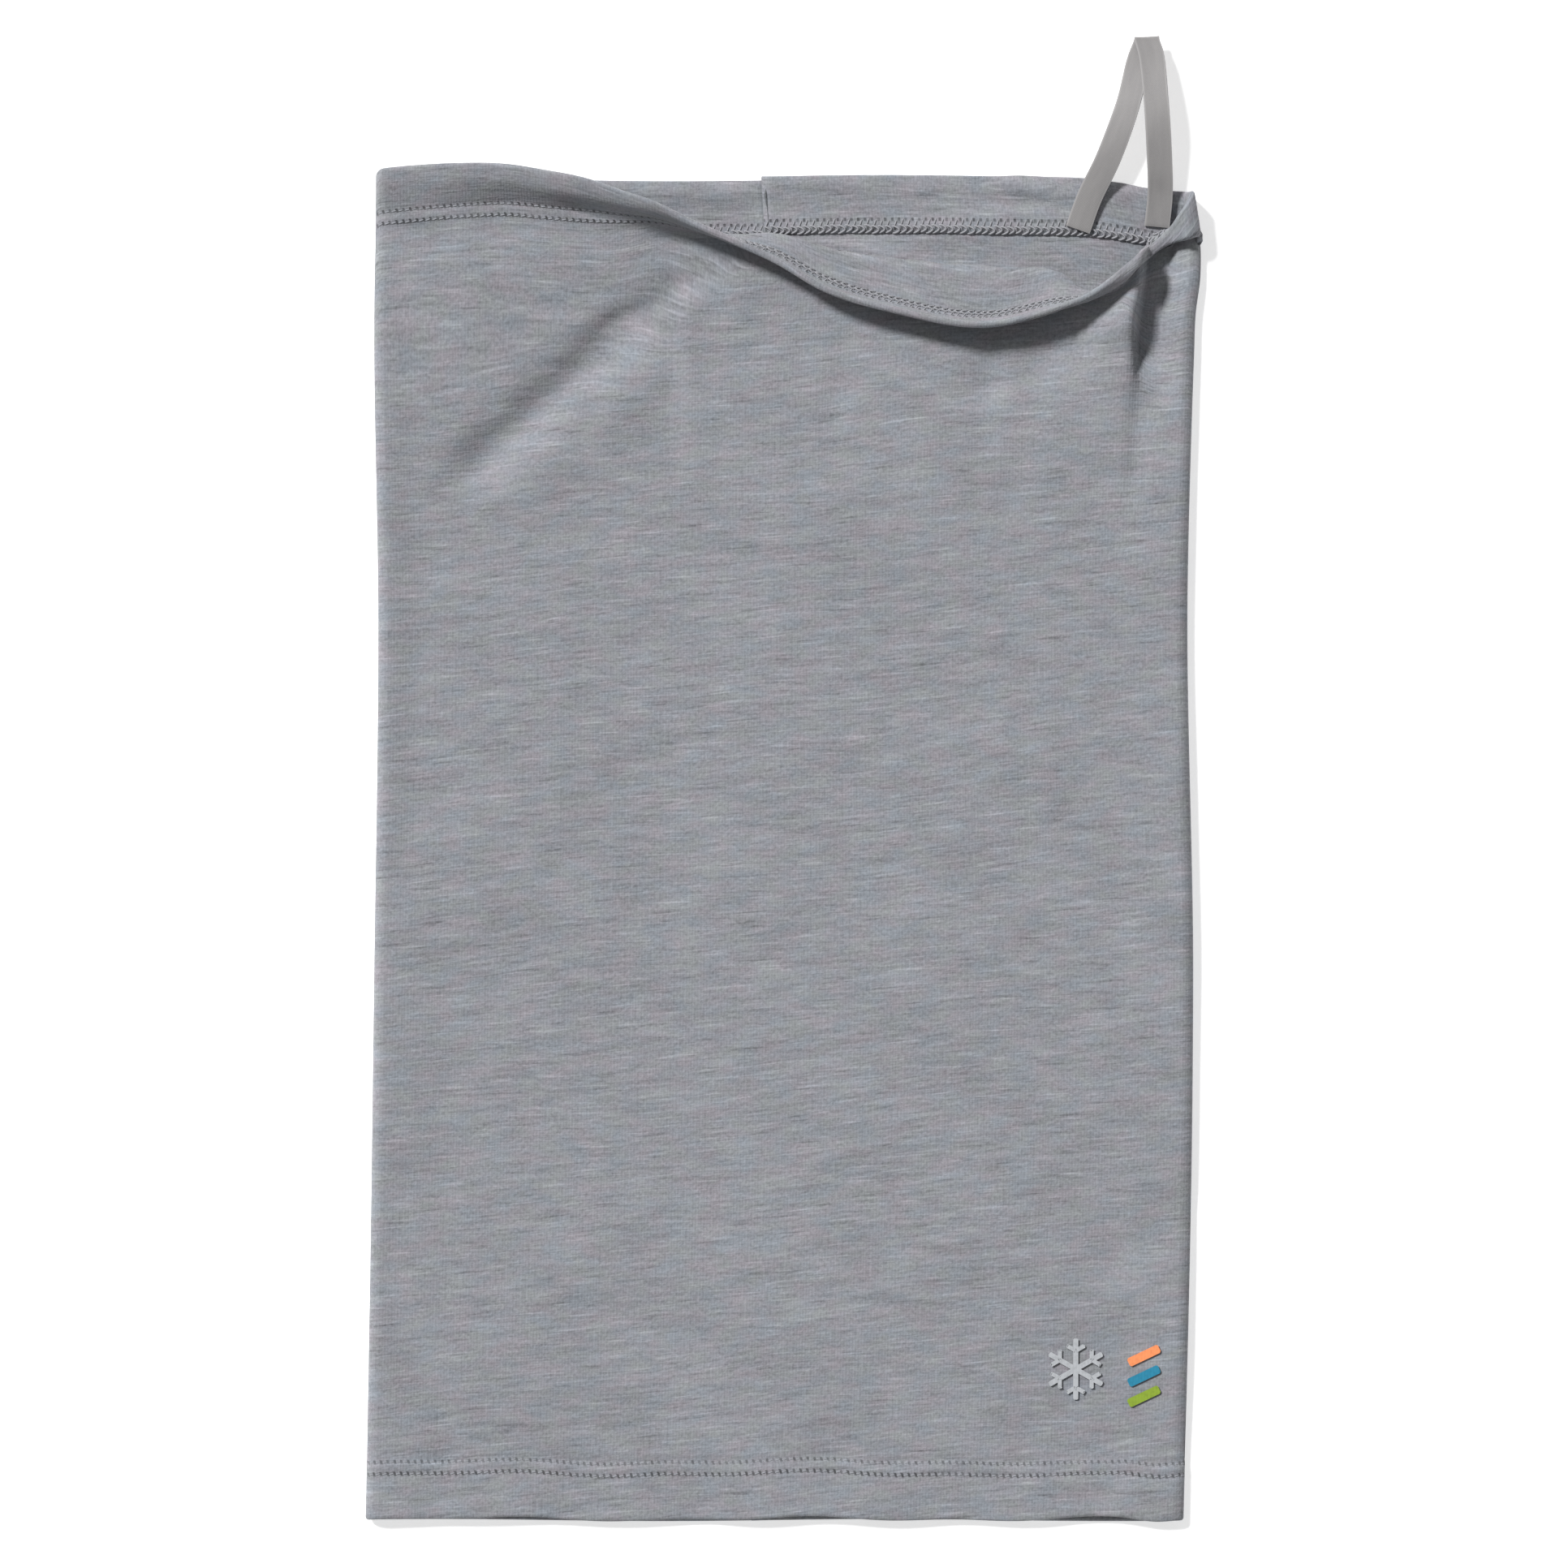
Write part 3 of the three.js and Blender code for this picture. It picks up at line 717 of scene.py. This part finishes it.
def hole_shade_and_dents(n):
    """1 in the holes along the stitches, 0 elsewhere: slanted ones outside, and inside round ones and the
    pockets of the looper's chain. The colour is darkened there as painted shade, and the bump is dented."""
    axes = n.node("SeparateXYZ", {"Vector": n.cloth_place()}).outputs
    total = 0.0
    for v, half_height, slant, shift, darkness in HOLE_SHADE_AND_DENTS:
        below = n.minus(axes["Y"], v)
        near = n.remap(n.math("ABSOLUTE", below), half_height * 0.5, half_height, darkness, 0.0)
        slanted = n.plus(n.minus(axes["X"], shift), n.times(below, slant))
        turn = n.times(slanted, 2 * math.pi / STITCH_PITCH)
        gap = n.remap(n.math("COSINE", turn), 0.1, 0.8)
        total = n.plus(total, n.times(near, gap))
    uneven = n.remap(n.cloth_noise(n.cloth_place(), (0.45, 0.2), 1.0), 0.3, 0.6, 0.5, 1.0)
    return n.times(n.math("MINIMUM", total, 1.0), uneven)


def thread_material(name, light, dark):
    """Plied sewing thread: slanted plies, and a little change of tone along it."""
    n = Nodes(name)
    place = n.cloth_place()
    plies = n.wave(n.stretched(place, (1.0, 0.16)), 0.8)
    tone = n.cloth_noise(place, (0.4, 0.4))
    share = n.plus(n.times(plies, 0.5), n.times(tone, 0.6), clamp=True)
    return n.finished(
        Base_Color=n.colour_mix(share, dark, light),
        Roughness=0.7,
        Sheen_Weight=0.15,
        Specular_IOR_Level=0.25,
        Normal=n.bump(plies, 0.5, 0.00008),
    )


def tape_material():
    """Woven twill tape: fine slanted ribs between two plain edges."""
    n = Nodes("woven_tape")
    place = n.cloth_place()
    twill = n.wave(n.stretched(place, (1.0, 1.0), 0.9), 0.8, 0.4)
    tone = n.cloth_noise(place, (0.10, 0.5), 3.0)
    fleck = n.cloth_noise(place, (1.5, 3.0))
    across = n.node("SeparateXYZ", {"Vector": place}).outputs["Y"]
    edge = n.remap(n.math("ABSOLUTE", across), 3.1, 3.5)
    share = 0.0
    for value, weight in ((twill, 0.16), (tone, 0.55), (fleck, 0.35)):
        share = n.plus(n.times(value, weight), share, clamp=True)
    colour = n.colour_mix(share, linear(122, 120, 121), linear(150, 148, 147))
    return n.finished(
        Base_Color=n.colour_mix(n.times(edge, 0.5), colour, linear(168, 166, 166)),
        Roughness=0.8,
        Sheen_Weight=0.1,
        Specular_IOR_Level=0.25,
        Normal=n.bump(twill, 0.3, 0.00006),
    )


def print_material(name, colour):
    """Heat-pressed film: smooth, with the knit showing faintly through it."""
    n = Nodes(name)
    place = n.node("TexCoord").outputs["Object"]
    knit = n.wave(place, 360.0, 0.5)
    speckle = n.noise(place, 900.0)
    faded = tuple(part * 0.82 for part in colour[:3]) + (1.0,)
    return n.finished(
        Base_Color=n.colour_mix(n.remap(speckle, 0.45, 0.75), colour, faded),
        Roughness=0.55,
        Normal=n.bump(knit, 0.12, 0.0001),
    )


def floor_material():
    """A pale sweep that glows a little, so that it stays pale beside the gaiter."""
    n = Nodes("pale_floor")
    cloud = n.noise(n.node("TexCoord").outputs["Object"], 3.0)
    return n.finished(
        Base_Color=n.colour_mix(cloud, linear(246, 246, 246), linear(249, 249, 249)),
        Roughness=0.9,
        Emission_Color=(1.0, 1.0, 1.0, 1.0),
        Emission_Strength=0.5,
    )


# ---- The pieces ----

TUBE_NODES = (
    *("back_panel_left", "back_panel_right", "left_side_fold", "right_side_fold", "front_panel"),
    *("top_hem_back", "top_hem_front", "bottom_hem_back", "bottom_hem_front"),
)


def make_tube(sheet, material):
    """The whole panel of jersey, with both hems turned in, as one sheet."""
    columns, rows = sheet.points.shape[:2]
    u_grid, v_grid = np.meshgrid(sheet.u, sheet.v, indexing="ij")
    uvs = {"cloth": listed(u_grid, v_grid), "knit": listed(u_grid, sheet.knit_v)}
    faces = grid_faces(columns, rows)
    tube = new_mesh("knit_tube", sheet.points.reshape(-1, 3), faces, material, **uvs)
    thicken(tube, FABRIC)
    blend_by_looseness(tube, np.repeat(sheet.looseness(sheet.u), rows))
    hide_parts(*TUBE_NODES)
    return tube


def layer_stretches(sheet, layer):
    """Where a row of sewing runs on a layer, as (start, end) in u. The seam parts the back layer's rows."""
    if layer == "front":
        return [(sheet.right_fold_u, sheet.left_fold_u)]
    return [(0.0, sheet.right_fold_u), (sheet.left_fold_u, sheet.u[-1])]


def stitch_places(stretch):
    """u of the middle of each stitch. The holes between them are at whole numbers of pitches."""
    first = math.ceil(stretch[0] / STITCH_PITCH) + 0.5
    return np.arange(first, stretch[1] / STITCH_PITCH - 0.5) * STITCH_PITCH


def needle_stitches(sheet, stretch, v, radius, slant):
    """One row of needle thread, in short stitches that dive into the cloth, with u of their points."""
    along = np.array([-0.34, -0.27, -0.1, 0.1, 0.27, 0.34]) * STITCH_PITCH
    lift = np.array([-0.25, -0.05, 0.02, 0.02, -0.05, -0.25]) + FABRIC / 2
    u = stitch_places(stretch)[:, None] + along
    offsets = np.linspace(-0.5, 0.5, len(along)) * slant
    points, normals = sheet.at(u, v + offsets + 0 * u, lift + 0 * u)
    return strands(points, normals, radius), u


def make_thread_piece(name, parts, material, node, sheet, layer):
    """One piece from (mesh, u of its points) pairs, all on one layer."""
    vertices, faces, uvs = joined([mesh for mesh, _ in parts])
    piece = new_mesh(name, vertices, faces, material, cloth=uvs)
    if layer == "front":
        sides = len(vertices) // sum(u.size for _, u in parts)
        looseness = np.concatenate([sheet.looseness(u).ravel() for _, u in parts])
        blend_by_looseness(piece, np.repeat(looseness, sides))
    else:
        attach(piece, "back_layer")
    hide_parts(node)
    return piece


# One link of the looper's chain, and the strand that joins it to the needle row nearer the hem's edge, as
# (along, towards the raw edge, lift) from the middle of the link.
CHAIN_LINK = (
    *((-1.30, -0.95, -0.15), (-0.70, -0.95, 0.10), (0.05, -0.62, 0.22), (0.55, -0.26, 0.30)),
    *((0.70, 0.05, 0.32), (0.45, 0.36, 0.30), (-0.05, 0.66, 0.22), (-0.75, 1.00, 0.10), (-1.30, 1.05, -0.15)),
)
CHAIN_CROSSING = ((0.15, -2.75, -0.2), (-0.1, -2.3, 0.08), (-0.4, -1.6, 0.1), (-0.7, -0.9, 0.0))


def looper_shapes(sheet, stretch, hem, shape, radius):
    """The same short strand at every stitch of a hem's inside, a little uneven, with u of its points."""
    shape = np.array(shape)
    places = stitch_places(stretch)
    count = np.arange(len(places))
    slip = 0.12 * np.sin(1.7 * count) + 0.10 * np.sin(0.61 * count + 1)
    stray = 0.14 * np.sin(2.3 * count + 2) + 0.12 * np.sin(0.43 * count)
    size = 1 + 0.10 * np.sin(1.31 * count + 0.5)
    u = (places + slip)[:, None] + size[:, None] * shape[:, 0]
    u = np.clip(u, stretch[0] + 0.05, stretch[1] - 0.05)
    from_edge = CHAIN_ROW + stray[:, None] + size[:, None] * shape[:, 1]
    v = -from_edge if hem == "top" else BODY_LENGTH + from_edge
    points, normals = sheet.at(u, v, FABRIC / 2 + shape[:, 2] + 0 * u)
    return strands(points, normals, radius), u


def make_needle_piece(sheet, material, hem, layer, row):
    """One needle row on one layer, row from the hem's edge. The lower row of a hem is the bolder one."""
    place = "upper" if (row == NEEDLE_ROWS[0]) == (hem == "top") else "lower"
    v = row if hem == "top" else BODY_LENGTH - row
    radius, slant = (0.2, 0.4) if place == "lower" else (0.17, 0.2)
    parts = [needle_stitches(sheet, stretch, v, radius, slant) for stretch in layer_stretches(sheet, layer)]
    name = f"{hem}_needle_stitches_{place}_{layer}"
    node = f"{hem}_needle_thread_{place}_{layer}"
    return make_thread_piece(name, parts, material, node, sheet, layer)


def make_looper_piece(sheet, material, hem, layer):
    """The looper's braid on one layer: a chain, and the crossings to the needle row nearer the hem's edge."""
    parts = []
    for stretch in layer_stretches(sheet, layer):
        for shape, radius in ((CHAIN_LINK, 0.3), (CHAIN_CROSSING, 0.22)):
            parts.append(looper_shapes(sheet, stretch, hem, shape, radius))
    name = f"{hem}_looper_braid_{layer}"
    node = f"{hem}_looper_thread_{layer}"
    return make_thread_piece(name, parts, material, node, sheet, layer)


def make_coverstitch(sheet, needle_material, looper_material):
    """Both hems: two needle rows outside and the looper braid inside, on each layer."""
    made = []
    for hem, layer in itertools.product(("top", "bottom"), ("front", "back")):
        made += [make_needle_piece(sheet, needle_material, hem, layer, row) for row in NEEDLE_ROWS]
        made.append(make_looper_piece(sheet, looper_material, hem, layer))
    return made


def make_seam_allowance(jersey):
    """The seam allowance pressed flat inside the centre back."""
    y = np.arange(SEAM_LOW[1], SEAM_HIGH[1], 2.0)
    across = np.linspace(-1, 1, 9)
    half = (SEAM_HIGH[0] - SEAM_LOW[0]) / 2
    y_grid, a_grid = np.meshgrid(y, across, indexing="ij")
    x_grid = SEAM_X + half * a_grid + 0.15 * np.sin(y_grid / 7)
    z_grid = BACK_LEVEL + FABRIC / 2 + 0.25 + 0.5 * (1 - a_grid**4) + 0.05 * np.sin(y_grid / 3.1)
    points, uvs = listed(x_grid, y_grid, z_grid), listed(x_grid, y_grid)
    faces = grid_faces(len(y), len(across))
    ridge = new_mesh("back_seam_allowance", points, faces, jersey, cloth=uvs + [0, 100], knit=uvs)
    thicken(ridge, 0.35, -1 if ridge.data.polygons[0].normal.z > 0 else 1)
    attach(ridge, "back_layer")
    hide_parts("back_seam")
    return ridge


def make_seam_zigzag(thread):
    """The zigzag that holds the seam allowance down."""
    run = np.arange(SEAM_LOW[1] + 2, SEAM_HIGH[1] - 3, 0.3)
    swing = np.sin(run * 2 * math.pi / ZIGZAG_PITCH)
    x = SEAM_X + 1.5 * swing + 0.15 * np.sin(run / 7)
    path = np.stack([x, run, 0 * run + BACK_LEVEL + FABRIC / 2 + 0.98], axis=1)
    up = np.broadcast_to([0.0, 0.0, 1.0], path.shape)
    vertices, faces, uvs = strands(path[None], up[None], 0.15)
    stitch = new_mesh("back_seam_zigzag", vertices, faces, thread, cloth=uvs)
    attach(stitch, "back_layer")
    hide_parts("back_seam_stitch")
    return stitch


# The legs' middle lines, the left one from its sewn end up, and the right one from the top down.
LOOP_LEFT_LEG = (
    *((86.7, 161.6, 1.9), (90.2, 171.2, 3.9), (95.6, 182.4, 6.6)),
    *((100.9, 196.8, 6.6), (104.4, 210.0, 4.8), (106.9, 217.3, 4.0)),
)
LOOP_RIGHT_LEG = (
    *((106.9, 217.3, 5.3), (108.4, 211.0, 6.6), (109.6, 196.0, 9.0)),
    *((110.6, 180.0, 6.8), (110.8, 171.5, 4.3), (110.0, 162.4, 2.2)),
)
LOOP_TWIST_Y, LOOP_TWIST_REACH = 201.0, 12.0  # both legs turn a little on edge here, by these angles
LEFT_TWIST, RIGHT_TWIST = 0.4, -0.3
TAPE_HALF_WIDTH = 3.7
TAPE_THICKNESS = 0.5
TAPE_CROWN = 0.14


def loop_leg(knots):
    """A leg's path, lifted where the back layer under it is."""
    knots = np.array(knots)
    knots[:, 2] += back_level(knots[:, 0], knots[:, 1]) - BACK_LEVEL
    share = np.linspace(0, 1, len(knots))
    return np.stack([through(share, knots[:, axis], np.linspace(0, 1, 40)) for axis in range(3)], axis=1)


def loop_path(up_leg, down_leg):
    """The tape's middle line: up one leg, round the fold at its top, and down the other."""
    apex = (up_leg[-1] + down_leg[0]) / 2
    turn_radius = (down_leg[0] - up_leg[-1])[2] / 2
    turn = np.linspace(-math.pi / 2, math.pi / 2, 13)[1:-1]
    fold = apex + turn_radius * np.stack([0 * turn, np.cos(turn), np.sin(turn)], axis=1)
    return np.concatenate([up_leg, fold, down_leg])


def tape_across(path, up_leg_points):
    """Unit vectors across the tape, and out of its face, along its path."""
    going_up = np.arange(len(path)) < len(path) / 2
    heading = np.gradient(path[:, :2], axis=0) * np.where(going_up, 1, -1)[:, None]
    heading = heading / np.maximum(np.linalg.norm(heading, axis=1, keepdims=True), 1e-6)
    from_fold = smoothstep((LOOP_LEFT_LEG[-1][1] - path[:, 1:2]) / 9)
    heading = unit(mix(np.array([0.0, 1.0]), heading, from_fold))
    level = np.stack([heading[:, 1], -heading[:, 0], 0 * heading[:, 0]], axis=1)
    tangents = np.gradient(path, axis=0)
    standing = unit(np.cross(level, tangents))
    twist = np.where(np.arange(len(path)) < up_leg_points, LEFT_TWIST, RIGHT_TWIST)
    twist = twist * np.exp(-(((path[:, 1] - LOOP_TWIST_Y) / LOOP_TWIST_REACH) ** 2))
    across = level * np.cos(twist)[:, None] + standing * np.sin(twist)[:, None]
    return across, unit(np.cross(across, tangents))


def make_ear_loop(material):
    """One length of tape: up the left leg, over a flat fold, and down the right leg in front."""
    up_leg, down_leg = loop_leg(LOOP_LEFT_LEG), loop_leg(LOOP_RIGHT_LEG)
    path = loop_path(up_leg, down_leg)
    across, out = tape_across(path, len(up_leg))
    side = np.linspace(-1, 1, 9)
    crown = TAPE_CROWN * (1 - side**2)
    points = path[:, None] + across[:, None] * (TAPE_HALF_WIDTH * side)[:, None]
    points = points + out[:, None] * crown[:, None]
    run = np.concatenate([[0], np.cumsum(np.linalg.norm(np.diff(path, axis=0), axis=1))])
    uvs = listed(*np.meshgrid(run, TAPE_HALF_WIDTH * side, indexing="ij"))
    faces = grid_faces(len(path), len(side))
    tape = new_mesh("ear_loop_tape", points.reshape(-1, 3), faces, material, cloth=uvs)
    thicken(tape, TAPE_THICKNESS)
    rounding = tape.modifiers.new("soft_edges", "BEVEL")
    rounding.width = 0.12 * MM
    rounding.segments = 2
    rounding.limit_method = "ANGLE"
    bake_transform(tape)
    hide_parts("ear_loop")
    return tape


FILM_TOP = 0.05  # how far the film's face stands proud of the cloth
FILM_THICKNESS = 0.18
ARM_WIDTH, BRANCH_WIDTH = 1.5, 1.2
BRANCH_ROOT, BRANCH_REACH = 0.6, 0.17  # where branches start, and half their length, as parts of the radius
STRIPE_TILT, STRIPE_LENGTH, STRIPE_WIDTH = 0.45, 10.0, 2.6


def on_front(x, y):
    """Height of the front layer's outside face at the placed (x, y), and x on the straight tube there."""
    straight_x = x
    for _ in range(3):
        straight_x = straight_x - (placed_x(straight_x, y) - x)
    return front_level(straight_x, y) + FABRIC / 2, straight_x


def print_bar(centre, angle, length, width):
    """x and y of the points of a bar of film with cut corners."""
    corner = min(width, 2.0) * 0.22
    start = [-0.5, -0.5 + corner / length]
    end = [0.5 - corner / length, 0.5]
    along = np.concatenate([start, np.linspace(-0.42, 0.42, 12), end])
    across = np.linspace(-0.5, 0.5, 5)
    a_grid, b_grid = np.meshgrid(along * length, across * width, indexing="ij")
    at_end = np.abs(a_grid) > length / 2 - corner * 0.5
    b_grid = np.where(at_end, b_grid * (1 - 2 * corner / width), b_grid)
    x = centre[0] + a_grid * math.cos(angle) - b_grid * math.sin(angle)
    y = centre[1] + a_grid * math.sin(angle) + b_grid * math.cos(angle)
    return x, y


def make_print(name, bars, material, node):
    """Bars of film pressed onto the front layer. Where they cross, each lies a hair above the one before."""
    parts, loose = [], []
    for layer, (centre, angle, length, width) in enumerate(bars):
        x, y = print_bar(centre, angle, length, width)
        z, straight_x = on_front(x, y)
        z = z + FILM_TOP + 0.0015 * layer
        points = listed(x, y, z)
        parts.append((points, grid_faces(*x.shape), points[:, :2]))
        loose.append(loose_share(straight_x).ravel())
    vertices, faces, uvs = joined(parts)
    piece = new_mesh(name, vertices, faces, material, cloth=uvs)
    thicken(piece, FILM_THICKNESS, 1 if piece.data.polygons[0].normal.z < 0 else -1)
    piece.data.polygons.foreach_set("use_smooth", [False] * len(piece.data.polygons))
    blend_by_looseness(piece, np.concatenate(loose))
    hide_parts(node)
    return piece


def make_snowflake(material):
    """Six arms, each with a pair of branches."""
    low, high = cad_mm("snowflake_print")
    centre = (low + high)[:2] / 2
    radius = (high[1] - low[1]) / 2
    bars = []
    for arm in range(6):
        angle = math.pi / 6 + arm * math.pi / 3
        heading = np.array([math.cos(angle), math.sin(angle)])
        bars.append((centre + heading * radius * 0.5, angle, radius, ARM_WIDTH))
        for side in (-1, 1):
            branch = angle + side * math.pi / 3
            reach = radius * BRANCH_REACH
            root = centre + heading * radius * BRANCH_ROOT
            middle = root + reach * np.array([math.cos(branch), math.sin(branch)])
            bars.append((middle, branch, 2 * reach, BRANCH_WIDTH))
    return make_print("snowflake_film", bars, material, "snowflake_print")


def make_accents():
    """Three slanted stripes, each in its own colour."""
    inks = {"orange": (243, 146, 92), "teal": (30, 128, 160), "green": (134, 160, 44)}
    made = []
    for ink, colour in inks.items():
        node = f"accent_stripe_{ink}"
        low, high = cad_mm(node)
        centre = (low + high)[:2] / 2
        material = print_material(f"film_{ink}", linear(*colour))
        bars = [(centre, STRIPE_TILT, STRIPE_LENGTH, STRIPE_WIDTH)]
        made.append(make_print(f"accent_film_{ink}", bars, material, node))
    return made


# ---- Room, light and camera ----

VIEW_WIDTH = 0.4614  # what the picture spans at the gaiter's height, in metres
VIEW_CENTRE = (0.0004, -0.0013)
LENS = 150.0
SENSOR = 36.0
ROOM_LIGHT = 0.3
KEY_LIGHT = 4.15
KEY_SPREAD = 11  # degrees
KEY_TILT = (-31, -38)  # degrees about x and y


def make_room():
    """The floor, and a soft light from all round."""
    bpy.ops.mesh.primitive_plane_add(size=8)
    floor = bpy.context.object
    floor.name = "floor"
    floor.data.materials.append(floor_material())
    world = bpy.data.worlds.new("studio")
    bpy.context.scene.world = world
    world.use_nodes = True
    background = world.node_tree.nodes["Background"]
    background.inputs["Color"].default_value = (1.0, 1.0, 1.0, 1)
    background.inputs["Strength"].default_value = ROOM_LIGHT


def make_lights():
    """One broad key light, from beyond the top left corner."""
    key = bpy.data.lights.new("key", "SUN")
    key.energy = KEY_LIGHT
    key.angle = math.radians(KEY_SPREAD)
    new_object("key", key).rotation_euler = (*np.radians(KEY_TILT), 0)


def make_camera():
    """A long lens straight above the middle."""
    camera = bpy.data.cameras.new("camera")
    camera.lens = LENS
    camera.sensor_width = SENSOR
    camera.clip_end = 20
    distance = VIEW_WIDTH * LENS / SENSOR
    camera_object = new_object("camera", camera)
    camera_object.location = (*VIEW_CENTRE, distance)
    scene = bpy.context.scene
    scene.camera = camera_object
    scene.view_settings.view_transform = "Standard"
    scene.view_settings.look = "None"


make_camera()
make_lights()
make_room()

sheet = Sheet()
jersey = jersey_material()
needle_thread = thread_material("needle_thread", linear(150, 152, 157), linear(136, 138, 144))
looper_thread = thread_material("looper_thread", linear(158, 158, 162), linear(134, 135, 140))
tube = make_tube(sheet, jersey)
sewing = make_coverstitch(sheet, needle_thread, looper_thread)
seam = [make_seam_allowance(jersey), make_seam_zigzag(looper_thread)]
make_ear_loop(tape_material())
prints = [make_snowflake(print_material("film_grey", linear(178, 181, 185))), *make_accents()]
